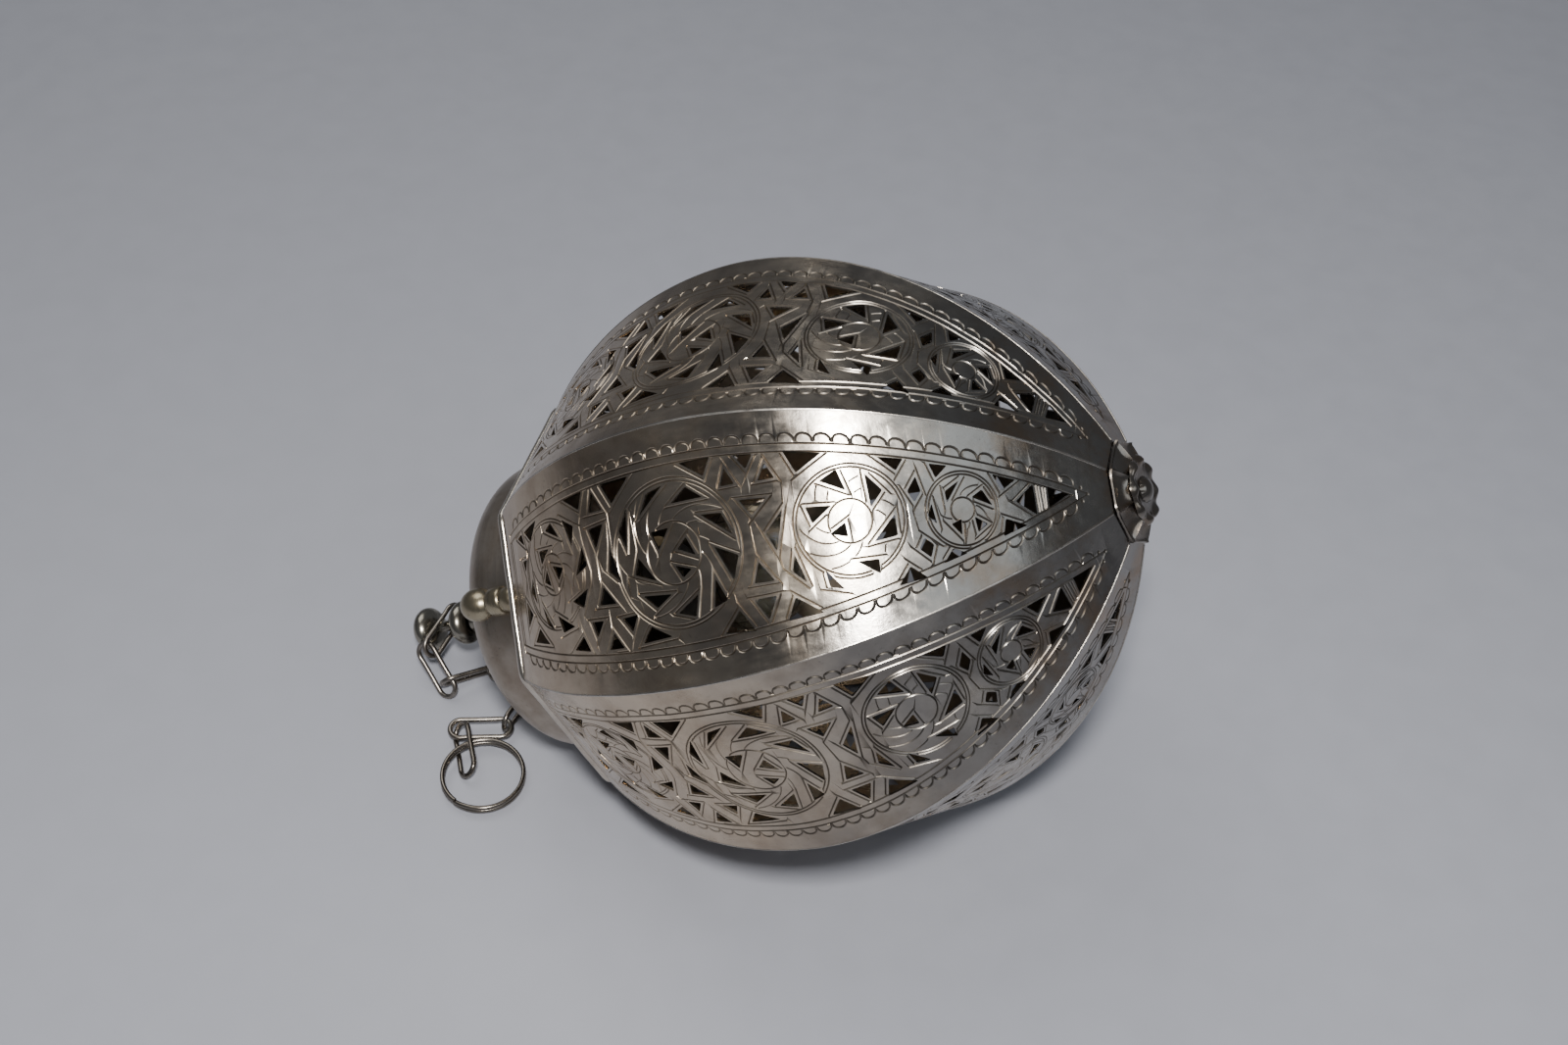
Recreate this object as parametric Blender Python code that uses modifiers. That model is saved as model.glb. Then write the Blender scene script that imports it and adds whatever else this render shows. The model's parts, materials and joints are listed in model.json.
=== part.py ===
"""Hanging lantern: eight pierced-metal gores under a hinged cap, lying on its side with its chain.

The lantern is modelled in its hanging attitude, with the neck's rim plane at z = 0 and the finial
up. An empty then lays it down on its shoulder and on the cap's edge, on a floor at z = 0.
Lengths are in metres. The facets are numbered 0 to 7 around the axis, 45 degrees apart.
"""

from math import asin, atan2, cos, hypot, pi, radians, sin, sqrt

import bmesh
import bpy
from mathutils import Euler, Matrix, Vector

MM = 0.001
GAP = 0.3 * MM

# Body: the ridge between two gores runs along two quarter ellipses that meet at the belly.
FACETS = 8
BELLY_RADIUS = 102.9 * MM
BELLY_DEPTH = 82.8 * MM
ARCH_LENGTH = 120.8 * MM
SHOULDER_RISE = 113.7 * MM
FOOT_RISE = 147.0 * MM
TIP_DEPTH = 192.6 * MM
GORE_START = 0.7 * MM
GORE_THICKNESS = 0.8 * MM
GORE_ROWS = 26
SEAM_INSET = 0.52 * MM
HALF_FACET = pi / FACETS
APOTHEM = cos(HALF_FACET)

# Neck: a rolled lip round the gores and a plate soldered inside it.
LIP_APOTHEM = 65.3 * MM
LIP_RADIUS = 1.3 * MM
LIP_HEIGHT = 1.0 * MM
PLATE_APOTHEM = 65.9 * MM
PLATE_TOP = -1.2 * MM
PLATE_THICKNESS = 1.0 * MM
MOUTH_RADIUS = 50.0 * MM

# Cap: an octagonal flange inside the lip and a spun drum on it.
FLANGE_APOTHEM = 63.4 * MM
FLANGE_TOP = 0.1 * MM
FLANGE_THICKNESS = 1.0 * MM
DRUM_RADIUS = 53.5 * MM
DRUM_HEIGHT = 36.0 * MM
DRUM_SHOULDER = 12.0 * MM
DRUM_CROWN = 2.4 * MM
DRUM_THICKNESS = 1.0 * MM
PIPE_RADIUS = 4.85 * MM

# Finial: a foot on the cap and a spool whose waist carries the first link of the chain.
BEAD_RADIUS = 8.5 * MM
BEAD_HALF = 4.7 * MM
WAIST_RADIUS = 2.1 * MM
LOWER_BEAD = 78.5 * MM
UPPER_BEAD = 96.6 * MM

# Knob beside the cap, and the hinge on the facet opposite it.
KNOB_FACET = -1
HINGE_FACET = 3
KNOB_OFFSET = 60.5 * MM
HINGE_OFFSET = 65.3 * MM
HINGE_HEIGHT = 4.3 * MM
KNUCKLE_RADIUS = 1.7 * MM
PIN_RADIUS = 0.8 * MM
PIN_BORE = 1.15 * MM
LEAF_THICKNESS = 0.8 * MM
LEAF_WIDTH = 24.0 * MM
LID_KNUCKLE = 7.8 * MM

# Lamp holder for a small screw cap, and its bulb.
HOLDER_RADIUS = 13.5 * MM
HOLDER_BORE = 7.7 * MM
BULB_CAP_RADIUS = 6.9 * MM
BULB_RADIUS = 22.5 * MM
BULB_CENTRE = -54.0 * MM
GLASS_THICKNESS = 0.8 * MM

# Chain and split ring.
LINK_HALF_STRAIGHT = 7.5 * MM
LINK_BEND = 4.0 * MM
LINK_WIRE = 1.0 * MM
RING_RADIUS = 14.9 * MM
RING_WIRE = 0.8 * MM
RING_PITCH = 1.9 * MM
RING_TURNS = 2

# How the lantern lies: its axis leans on the floor by PITCH, and its rim centre is RIM_HEIGHT up.
PITCH = 29.1
RIM_HEIGHT = 60.0 * MM
CENTRE_SHIFT = Vector((-44.0 * MM, 0.0, 0.0))

# The links from the finial to the ring: start bend, a point it runs towards, and its roll.
# Lengths here are in millimetres from the floor below the rim's centre.
LINKS = [
    ((-75.8, 5.0, 18.5), (-79.2, -9.2, 15.3), -61),
    ((-81.2, -11.5, 12.7), (-71.2, -19.1, 4.6), -125),
    ((-69.5, -17.1, 6.6), (-58.6, -7.0, 4.5), 119),
    ((-54.6, -5.8, 4.5), (-40.0, -9.3, 5.0), 22),
    ((-39.3, -13.7, 5.0), (-41.8, -28.5, 5.1), -91),
    ((-43.9, -32.4, 4.3), (-58.1, -37.2, 5.0), 175),
    ((-56.8, -39.3, 5.2), (-49.4, -52.3, 4.7), 48),
]
RING_CENTRE = (-42.6, -54.2, 3.5)
RING_TURN = (0.035, 0.070, -0.038)
RING_OPENING = 250.0


def clear_scene():
    """Remove every object that the new file starts with."""
    for item in list(bpy.data.objects):
        bpy.data.objects.remove(item, do_unlink=True)


def collection(name):
    """A new collection linked to the scene."""
    group = bpy.data.collections.new(name)
    bpy.context.scene.collection.children.link(group)
    return group


def material(name, colour, roughness, metallic):
    """A plain Principled BSDF material."""
    made = bpy.data.materials.new(name)
    made.use_nodes = True
    shader = made.node_tree.nodes["Principled BSDF"]
    shader.inputs["Base Color"].default_value = (*colour, 1.0)
    shader.inputs["Roughness"].default_value = roughness
    shader.inputs["Metallic"].default_value = metallic
    return made


def place(name, data, group, look=None, parent=None, where=(0, 0, 0), turn=(0, 0, 0)):
    """Put a mesh or curve in the scene as a named object with its own material."""
    item = bpy.data.objects.new(name, data)
    group.objects.link(item)
    item.parent = parent
    item.location = where
    item.rotation_euler = turn
    if look is not None:
        item.data.materials.append(look)
    return item


def mesh_of(name, shape):
    """Turn a bmesh into mesh data."""
    data = bpy.data.meshes.new(name)
    shape.to_mesh(data)
    shape.free()
    return data


def as_cutter(item):
    """Hide a cutting shape from the model."""
    item.hide_render = True
    item.display_type = "WIRE"
    item.hide_select = True
    return item


def boolean(item, other, operation):
    """Join or cut an object with another by an exact Boolean."""
    modifier = item.modifiers.new(operation.lower(), "BOOLEAN")
    modifier.operation = operation
    modifier.solver = "EXACT"
    modifier.object = other


def turned_mesh(name, profile, closed):
    """A profile of (radius, height) points as a chain of edges in the XZ plane."""
    shape = bmesh.new()
    corners = [shape.verts.new((radius, 0.0, height)) for radius, height in profile]
    for first, second in zip(corners, corners[1:]):
        shape.edges.new((first, second))
    if closed:
        shape.edges.new((corners[-1], corners[0]))
    return mesh_of(name, shape)


def turned(name, profile, group, look, closed=False, steps=24, **placing):
    """Spin a profile about the object's Z axis."""
    item = place(name, turned_mesh(name, profile, closed), group, look, **placing)
    screw = item.modifiers.new("spin", "SCREW")
    screw.angle = 2 * pi
    screw.steps = steps
    screw.render_steps = steps
    screw.use_merge_vertices = True
    screw.merge_threshold = 0.00001
    screw.use_smooth_shade = True
    return item


def cylinder_mesh(name, radius, length, segments=32, radius_top=None):
    """A closed cylinder or cone along Z, centred on the origin."""
    shape = bmesh.new()
    bmesh.ops.create_cone(
        shape,
        cap_ends=True,
        segments=segments,
        radius1=radius,
        radius2=radius if radius_top is None else radius_top,
        depth=length,
    )
    return mesh_of(name, shape)


def box_mesh(name, size):
    """A closed box centred on the origin."""
    shape = bmesh.new()
    bmesh.ops.create_cube(shape, size=1.0)
    bmesh.ops.scale(shape, vec=size, verts=shape.verts)
    return mesh_of(name, shape)


def around(facet, radius, height=0.0):
    """The point at a radius on a facet's centre line."""
    angle = 2 * pi * facet / FACETS
    return Vector((radius * cos(angle), radius * sin(angle), height))


def facet_turn(facet):
    """The rotation that brings +X to a facet's centre line."""
    return (0.0, 0.0, 2 * pi * facet / FACETS)


def bead_arc(centre, radius, half, start, stop, points=8):
    """Points (radius, height) down the outside of an oval bead, angles from its top pole."""
    angles = [start + (stop - start) * step / (points - 1) for step in range(points)]
    return [(radius * sin(angle), centre + half * cos(angle)) for angle in angles]


def ridge_row(share):
    """The ridge's (depth, radius) at a share of the way from the neck to the tip."""
    first = asin((GORE_START - BELLY_DEPTH) / ARCH_LENGTH)
    last = asin((TIP_DEPTH - BELLY_DEPTH) / ARCH_LENGTH)
    angle = first + (last - first) * share
    rise = SHOULDER_RISE if angle < 0 else FOOT_RISE
    return BELLY_DEPTH + ARCH_LENGTH * sin(angle), BELLY_RADIUS - rise * (1 - cos(angle))


def gore_mesh():
    """One gore: flat across, curved from the neck to the tip, as an open strip."""
    shape = bmesh.new()
    rows = []
    for row in range(GORE_ROWS):
        depth, radius = ridge_row(row / (GORE_ROWS - 1))
        out = radius * APOTHEM
        half = radius * sin(HALF_FACET) - SEAM_INSET
        rows.append([shape.verts.new((out, side * half, -depth)) for side in (-1, 1)])
    for upper, lower in zip(rows, rows[1:]):
        shape.faces.new((upper[0], lower[0], lower[1], upper[1]))
    return mesh_of("gore", shape)


def make_gores(group, look, axis):
    """The eight gores share one mesh."""
    data = gore_mesh()
    data.materials.append(look)
    for facet in range(FACETS):
        gore = place(f"gore_{facet}", data, group, None, axis, turn=facet_turn(facet))
        sheet = gore.modifiers.new("sheet", "SOLIDIFY")
        sheet.thickness = GORE_THICKNESS
        sheet.offset = -1.0


def octagon_plate(name, apothem, top, thickness, group, look, parent, where):
    """A flat octagonal plate with its flats facing the gores."""
    data = cylinder_mesh(name, apothem / APOTHEM, thickness, FACETS)
    data.transform(Matrix.Rotation(HALF_FACET, 4, "Z"))
    centre = Vector((0, 0, top - thickness / 2)) + where
    return place(name, data, group, look, parent, centre)


def round_cutter(name, radius, length, cutters, parent, where, turn=(0, 0, 0), segments=32):
    """A cylinder that bores a hole."""
    data = cylinder_mesh(name, radius, length, segments)
    return as_cutter(place(name, data, cutters, None, parent, where, turn))


def make_neck(group, cutters, look, axis):
    """The rolled lip and the plate inside it."""
    curve = bpy.data.curves.new("neck_lip", "CURVE")
    curve.dimensions = "3D"
    curve.bevel_depth = LIP_RADIUS
    curve.bevel_resolution = 2
    line = curve.splines.new("POLY")
    line.points.add(FACETS - 1)
    for corner, point in enumerate(line.points):
        spot = around(corner + 0.5, LIP_APOTHEM / APOTHEM, LIP_HEIGHT)
        point.co = (*spot, 1.0)
    line.use_cyclic_u = True
    place("neck_lip", curve, group, look, axis)
    plate = octagon_plate(
        "neck_plate", PLATE_APOTHEM, PLATE_TOP, PLATE_THICKNESS, group, look, axis, Vector()
    )
    mouth = round_cutter("cutter_mouth", MOUTH_RADIUS, 20 * MM, cutters, axis, (0, 0, 0), segments=48)
    stud = round_cutter("cutter_stud", 2.0 * MM, 20 * MM, cutters, axis, around(KNOB_FACET, KNOB_OFFSET))
    boolean(plate, mouth, "DIFFERENCE")
    boolean(plate, stud, "DIFFERENCE")


def drum_profile():
    """Outside of the spun drum, from the pipe hole down to its rim."""
    corner = DRUM_RADIUS - DRUM_SHOULDER
    crown = [
        (radius, DRUM_HEIGHT + DRUM_CROWN * (1 - (radius / corner) ** 2))
        for radius in (PIPE_RADIUS + GAP, corner * 0.35, corner * 0.7)
    ]
    shoulder = [
        (
            corner + DRUM_SHOULDER * sin(radians(angle)),
            DRUM_HEIGHT - DRUM_SHOULDER * (1 - cos(radians(angle))),
        )
        for angle in range(0, 91, 15)
    ]
    return crown + shoulder + [(DRUM_RADIUS, FLANGE_TOP + GAP)]


def make_lid(group, cutters, look, lid):
    """The cap's flange and drum, on the lid's hinge."""
    home = -lid.location
    flange = octagon_plate(
        "lid_flange", FLANGE_APOTHEM, FLANGE_TOP, FLANGE_THICKNESS, group, look, lid, home
    )
    bore = round_cutter("cutter_flange", MOUTH_RADIUS, 20 * MM, cutters, lid, home, segments=48)
    hole = home + around(KNOB_FACET, KNOB_OFFSET)
    stud = round_cutter("cutter_flange_stud", 2.0 * MM, 20 * MM, cutters, lid, hole)
    boolean(flange, bore, "DIFFERENCE")
    boolean(flange, stud, "DIFFERENCE")
    drum = turned("lid_drum", drum_profile(), group, look, steps=48, parent=lid, where=home)
    wall = drum.modifiers.new("wall", "SOLIDIFY")
    wall.thickness = DRUM_THICKNESS
    wall.offset = -1.0


def make_finial(group, cutters, look, lid):
    """The finial's foot, hollow for a flex, and the spool that the chain hangs from."""
    home = -lid.location
    base = DRUM_HEIGHT + DRUM_CROWN + GAP
    stem = 4.6 * MM
    top = LOWER_BEAD - BEAD_HALF * cos(asin(stem / BEAD_RADIUS)) - GAP
    foot_profile = [
        (0.0, top),
        (stem, top),
        (stem, base + 23 * MM),
        (7.2 * MM, base + 18 * MM),
        (8.6 * MM, base + 11 * MM),
        (12.2 * MM, base + 5 * MM),
        (13.4 * MM, base + 3 * MM),
        (13.0 * MM, base),
        (PIPE_RADIUS + GAP, base),
        (PIPE_RADIUS + GAP, base + 16 * MM),
        (0.0, base + 16 * MM),
    ]
    foot = turned("finial_foot", foot_profile, group, look, parent=lid, where=home)
    inlet = round_cutter(
        "cutter_inlet",
        2.6 * MM,
        20 * MM,
        cutters,
        lid,
        home + Vector((0, 10 * MM, base + 12 * MM)),
        (pi / 2, 0, 0),
        24,
    )
    boolean(foot, inlet, "DIFFERENCE")
    waist = asin(WAIST_RADIUS / BEAD_RADIUS)
    seat = asin(stem / BEAD_RADIUS)
    spool = bead_arc(UPPER_BEAD, BEAD_RADIUS, BEAD_HALF, 0, pi - waist, 10)
    spool += bead_arc(LOWER_BEAD, BEAD_RADIUS, BEAD_HALF, waist, pi - seat, 9)
    spool.append((0.0, spool[-1][1]))
    turned("finial_spool", spool, group, look, parent=lid, where=home)


def make_knob(group, look, lid):
    """The thumb knob: a ball on a collar, with the stud that drops into the neck plate."""
    waist = asin(3.2 / 5.8)
    profile = bead_arc(20.0 * MM, 5.8 * MM, 6.6 * MM, 0, pi - waist, 9)
    profile += [
        (4.2 * MM, 13.9 * MM),
        (4.9 * MM, 13.0 * MM),
        (4.9 * MM, 8.2 * MM),
        (4.2 * MM, 7.2 * MM),
        (4.4 * MM, 3.4 * MM),
        (3.0 * MM, 2.8 * MM),
        (3.0 * MM, FLANGE_TOP + GAP),
        (1.5 * MM, FLANGE_TOP + GAP),
        (1.5 * MM, PLATE_TOP - PLATE_THICKNESS - 1.5 * MM),
        (0.0, PLATE_TOP - PLATE_THICKNESS - 2.2 * MM),
    ]
    spot = around(KNOB_FACET, KNOB_OFFSET) - lid.location
    turned("thumb_knob", profile, group, look, steps=24, parent=lid, where=spot)


def leaf_mesh(name, path):
    """A hinge leaf's middle surface: a path of (radius, height) drawn out to the leaf's width."""
    shape = bmesh.new()
    rows = []
    for radius, height in path:
        rows.append([shape.verts.new((radius, side * LEAF_WIDTH / 2, height)) for side in (-1, 1)])
    for first, second in zip(rows, rows[1:]):
        shape.faces.new((first[0], second[0], second[1], first[1]))
    return mesh_of(name, shape)


def make_leaf(name, path, keep_middle, group, cutters, look, parent, home):
    """A hinge leaf with its knuckles: the middle one, or the two outer ones."""
    turn = facet_turn(HINGE_FACET)
    leaf = place(name, leaf_mesh(name, path), group, look, parent, home, turn)
    sheet = leaf.modifiers.new("sheet", "SOLIDIFY")
    sheet.thickness = LEAF_THICKNESS
    sheet.offset = 0.0
    axle = home + around(HINGE_FACET, HINGE_OFFSET, HINGE_HEIGHT)
    along = (pi / 2, 0.0, turn[2])
    length = LID_KNUCKLE if keep_middle else LEAF_WIDTH
    knuckle = cylinder_mesh(f"cutter_{name}_knuckle", KNUCKLE_RADIUS, length, 16)
    tube = as_cutter(place(f"cutter_{name}_knuckle", knuckle, cutters, None, parent, axle, along))
    boolean(leaf, tube, "UNION")
    bore = round_cutter(f"cutter_{name}_bore", PIN_BORE, 2 * LEAF_WIDTH, cutters, parent, axle, along, 16)
    boolean(leaf, bore, "DIFFERENCE")
    near = 3.0 * MM
    if keep_middle:
        spans = [(LID_KNUCKLE / 2, LEAF_WIDTH), (-LEAF_WIDTH, -LID_KNUCKLE / 2)]
    else:
        spans = [(-LID_KNUCKLE / 2 - GAP, LID_KNUCKLE / 2 + GAP)]
    for number, (low, high) in enumerate(spans):
        notch = box_mesh(f"cutter_{name}_notch{number}", (2 * near, high - low, 2 * near))
        spot = axle + Matrix.Rotation(turn[2], 3, "Z") @ Vector((0, (low + high) / 2, 0))
        block = as_cutter(place(notch.name, notch, cutters, None, parent, spot, turn))
        boolean(leaf, block, "DIFFERENCE")


def make_hinge(group, cutters, look, axis, lid):
    """Both leaves and the pin, on the facet opposite the knob."""
    knuckle_mid = KNUCKLE_RADIUS - LEAF_THICKNESS / 2
    clear = GAP + LEAF_THICKNESS / 2
    shoulder = []
    for depth in (1.2 * MM, 5.0 * MM, 9.0 * MM):
        lean = (depth - BELLY_DEPTH) / ARCH_LENGTH
        radius = BELLY_RADIUS - SHOULDER_RISE * (1 - sqrt(1 - lean**2))
        shoulder.append((radius * APOTHEM + 1.3 * clear, -depth + 0.9 * clear))
    outer = HINGE_OFFSET + knuckle_mid
    body_path = [(outer, HINGE_HEIGHT), (LIP_APOTHEM + LIP_RADIUS + clear, LIP_HEIGHT)] + shoulder
    make_leaf("hinge_leaf_body", body_path, False, group, cutters, look, axis, Vector())
    high = HINGE_HEIGHT + knuckle_mid
    low = FLANGE_TOP + clear
    riser = LIP_APOTHEM - 4.8 * MM
    lid_path = [(HINGE_OFFSET, high), (riser, high), (riser, low), (DRUM_RADIUS + 1.0 * MM, low)]
    make_leaf("hinge_leaf_lid", lid_path, True, group, cutters, look, lid, -lid.location)
    half = LEAF_WIDTH / 2 + GAP
    head = 1.5 * MM
    pin_profile = [
        (0.0, half + head),
        (head, half + head * 0.6),
        (head, half),
        (PIN_RADIUS, half),
        (PIN_RADIUS, -half),
        (head, -half),
        (head, -half - head * 0.6),
        (0.0, -half - head),
    ]
    spot = around(HINGE_FACET, HINGE_OFFSET, HINGE_HEIGHT)
    along = (pi / 2, 0.0, facet_turn(HINGE_FACET)[2])
    turned("hinge_pin", pin_profile, group, look, steps=16, parent=axis, where=spot, turn=along)


def hex_nut(name, corner, bore, centre, thickness, group, cutters, look, parent):
    """A hexagonal nut on the lantern's axis."""
    nut = place(name, cylinder_mesh(name, corner, thickness, 6), group, look, parent, centre)
    hole = round_cutter(f"cutter_{name}", bore, 3 * thickness, cutters, parent, centre, segments=24)
    boolean(nut, hole, "DIFFERENCE")


def make_lamp(group, cutters, looks, lid):
    """Pipe, washer, nut, lamp holder and bulb, all carried by the cap."""
    home = -lid.location
    brass, dark, glass = looks["brass"], looks["dark"], looks["glass"]
    bore = PIPE_RADIUS + GAP

    def tube(name, outer, inner, top, bottom, look):
        profile = [(outer, top), (outer, bottom), (inner, bottom), (inner, top)]
        return turned(name, profile, group, look, closed=True, parent=lid, where=home)

    tube("threaded_pipe", PIPE_RADIUS, 3.2 * MM, 53 * MM, 22 * MM, brass)
    tube("pipe_washer", 9.5 * MM, bore, 36.9 * MM, 35.9 * MM, brass)
    nut_spot = home + Vector((0, 0, 34.0 * MM))
    hex_nut("pipe_nut", 8.1 * MM, bore, nut_spot, 3.2 * MM, group, cutters, brass, lid)
    cap_profile = [
        (bore, 30.0 * MM),
        (9.0 * MM, 29.4 * MM),
        (13.5 * MM, 27.4 * MM),
        (16.4 * MM, 24.0 * MM),
        (17.0 * MM, 20.0 * MM),
        (17.0 * MM, 11.0 * MM),
    ]
    cap = turned("holder_cap", cap_profile, group, brass, parent=lid, where=home)
    wall = cap.modifiers.new("wall", "SOLIDIFY")
    wall.thickness = 1.0 * MM
    wall.offset = -1.0
    body_profile = [
        (0.0, 19.0 * MM),
        (15.6 * MM, 19.0 * MM),
        (15.6 * MM, 14.0 * MM),
        (HOLDER_RADIUS, 14.0 * MM),
        (HOLDER_RADIUS, -24.0 * MM),
        (HOLDER_BORE, -24.0 * MM),
        (HOLDER_BORE, 6.0 * MM),
        (0.0, 6.0 * MM),
    ]
    turned("holder_body", body_profile, group, dark, parent=lid, where=home)
    tube("holder_ring", 17.5 * MM, HOLDER_RADIUS + GAP, -12 * MM, -16 * MM, brass)
    cap_end = -22.0 * MM
    bulb_cap = [
        (0.0, 5.0 * MM),
        (2.4 * MM, 4.6 * MM),
        (2.6 * MM, 3.4 * MM),
        (5.2 * MM, 2.2 * MM),
        (BULB_CAP_RADIUS, 0.8 * MM),
        (BULB_CAP_RADIUS, cap_end),
        (0.0, cap_end),
    ]
    turned("bulb_cap", bulb_cap, group, brass, parent=lid, where=home)
    neck = 6.6 * MM
    start = asin((neck + 1.2 * MM) / BULB_RADIUS)
    globe = [(neck, cap_end - GAP), (neck, -29.0 * MM)]
    globe += bead_arc(BULB_CENTRE, BULB_RADIUS, BULB_RADIUS, start, pi, 14)
    bulb = turned("bulb_glass", globe, group, glass, parent=lid, where=home)
    skin = bulb.modifiers.new("skin", "SOLIDIFY")
    skin.thickness = GLASS_THICKNESS
    skin.offset = -1.0


def make_tip(group, cutters, look, axis):
    """The octagonal cap over the gores' ends, with the boss, washer and nut that clamp it."""
    top = -TIP_DEPTH - 0.4 * MM
    height = 3.6 * MM
    data = cylinder_mesh("tip_cap", 10.6 * MM, height, FACETS, 17.2 * MM)
    data.transform(Matrix.Rotation(HALF_FACET, 4, "Z"))
    cap = place("tip_cap", data, group, look, axis, (0, 0, top - height / 2))
    hole = round_cutter("cutter_tip", 2.2 * MM, 30 * MM, cutters, axis, (0, 0, top), segments=24)
    boolean(cap, hole, "DIFFERENCE")
    seat = top - height - GAP
    stud = 1.9 * MM
    boss = [
        (0.0, -184.0 * MM),
        (stud, -184.6 * MM),
        (stud, seat),
        (9.6 * MM, seat),
        (10.2 * MM, seat - 0.9 * MM),
        (9.2 * MM, seat - 1.9 * MM),
        (5.2 * MM, seat - 1.9 * MM),
    ]
    boss += bead_arc(seat - 1.9 * MM, 4.6 * MM, 2.3 * MM, radians(90), pi, 8)
    turned("tip_boss", boss, group, look, steps=24, parent=axis)
    washer = [
        (15.6 * MM, -189.2 * MM),
        (15.6 * MM, -190.2 * MM),
        (stud + GAP, -190.2 * MM),
        (stud + GAP, -189.2 * MM),
    ]
    turned("tip_washer", washer, group, look, closed=True, parent=axis)
    centre = Vector((0, 0, -187.3 * MM))
    hex_nut("tip_nut", 4.6 * MM, stud + GAP, centre, 3.2 * MM, group, cutters, look, axis)


def link_outline():
    """Centre line of a link in its own plane, from the start bend's centre along +X."""
    length = 2 * LINK_HALF_STRAIGHT
    turns = 7
    far = [
        (length + LINK_BEND * sin(pi * step / turns), -LINK_BEND * cos(pi * step / turns))
        for step in range(turns + 1)
    ]
    near = [
        (-LINK_BEND * sin(pi * step / turns), LINK_BEND * cos(pi * step / turns))
        for step in range(turns + 1)
    ]
    return far + near


def wire_curve(name, points, radius, cyclic):
    """A round wire along a list of points."""
    curve = bpy.data.curves.new(name, "CURVE")
    curve.dimensions = "3D"
    curve.bevel_depth = radius
    curve.bevel_resolution = 2
    curve.use_fill_caps = True
    line = curve.splines.new("POLY")
    line.points.add(len(points) - 1)
    for point, spot in zip(line.points, points):
        point.co = (*spot, 1.0)
    line.use_cyclic_u = cyclic
    return curve


def aim(start, towards, roll):
    """Rotation that runs +X from start towards a point, rolled about that line."""
    run = (towards - start).normalized()
    heading = atan2(run.y, run.x)
    dip = -atan2(run.z, hypot(run.x, run.y))
    swing = Euler((0.0, dip, heading), "XYZ").to_matrix()
    return (swing @ Matrix.Rotation(radians(roll), 3, "X")).to_euler()


def make_chain(group, look, floor):
    """The links from the finial to the ring, and the split ring."""
    outline = [(x, y, 0.0) for x, y in link_outline()]
    curve = wire_curve("chain_link", outline, LINK_WIRE, True)
    curve.materials.append(look)
    for number, (start, towards, roll) in enumerate(LINKS, 1):
        start = Vector(start) * MM
        towards = Vector(towards) * MM
        name = f"chain_link_{number}"
        place(name, curve, group, None, floor, start, aim(start, towards, roll))
    steps = 20
    coil = []
    for step in range(RING_TURNS * steps + 1):
        angle = 2 * pi * step / steps + radians(RING_OPENING)
        rise = RING_PITCH * (step / steps - RING_TURNS / 2)
        coil.append((RING_RADIUS * cos(angle), RING_RADIUS * sin(angle), rise))
    ring = wire_curve("split_ring", coil, RING_WIRE, False)
    place("split_ring", ring, group, look, floor, Vector(RING_CENTRE) * MM, RING_TURN)


def main():
    clear_scene()
    group = collection("hanging_lantern")
    cutters = collection("cutters")
    looks = {
        "nickel": material("aged_nickel", (0.46, 0.42, 0.37), 0.32, 1.0),
        "gore": material("gore_nickel", (0.55, 0.52, 0.47), 0.30, 1.0),
        "brass": material("brass", (0.60, 0.45, 0.22), 0.35, 1.0),
        "steel": material("chain_wire", (0.36, 0.34, 0.31), 0.35, 1.0),
        "dark": material("holder_black", (0.03, 0.03, 0.03), 0.50, 0.0),
        "glass": material("bulb_glass", (0.85, 0.87, 0.85), 0.05, 0.0),
    }
    floor = place("lantern_on_floor", None, group, where=CENTRE_SHIFT)
    axis = place("lantern_axis", None, group, None, floor, (0, 0, RIM_HEIGHT))
    axis.rotation_euler = (0.0, -radians(90 + PITCH), 0.0)
    hinge = around(HINGE_FACET, HINGE_OFFSET, HINGE_HEIGHT)
    lid = place("lid_axis", None, group, None, axis, hinge)
    make_gores(group, looks["gore"], axis)
    make_neck(group, cutters, looks["nickel"], axis)
    make_lid(group, cutters, looks["nickel"], lid)
    make_finial(group, cutters, looks["nickel"], lid)
    make_knob(group, looks["brass"], lid)
    make_hinge(group, cutters, looks["brass"], axis, lid)
    make_lamp(group, cutters, looks, lid)
    make_tip(group, cutters, looks["nickel"], axis)
    make_chain(group, looks["steel"], floor)


main()
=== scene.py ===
"""Looks for the hanging lantern: pierced and chased gores, spun cap, finial, chain and ring."""

import json
import math

import bpy
import numpy as np
from mathutils import Euler, Matrix, Vector
from mathutils.geometry import delaunay_2d_cdt


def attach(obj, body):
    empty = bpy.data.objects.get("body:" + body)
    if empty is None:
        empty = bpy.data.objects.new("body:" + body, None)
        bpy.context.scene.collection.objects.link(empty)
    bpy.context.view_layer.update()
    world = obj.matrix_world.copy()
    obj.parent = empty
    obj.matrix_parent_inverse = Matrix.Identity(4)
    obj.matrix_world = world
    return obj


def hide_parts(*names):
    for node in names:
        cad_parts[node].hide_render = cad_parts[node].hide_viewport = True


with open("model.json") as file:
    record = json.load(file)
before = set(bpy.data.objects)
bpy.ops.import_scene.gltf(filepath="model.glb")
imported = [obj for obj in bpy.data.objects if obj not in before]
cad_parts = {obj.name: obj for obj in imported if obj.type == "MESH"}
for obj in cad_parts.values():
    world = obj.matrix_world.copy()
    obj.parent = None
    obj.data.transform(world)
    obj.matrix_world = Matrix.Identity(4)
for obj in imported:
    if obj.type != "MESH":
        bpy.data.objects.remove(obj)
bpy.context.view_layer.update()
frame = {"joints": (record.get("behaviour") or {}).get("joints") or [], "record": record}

MM = 0.001
FACETS = 8
HALF_FACET = math.pi / FACETS
APOTHEM = math.cos(HALF_FACET)

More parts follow.
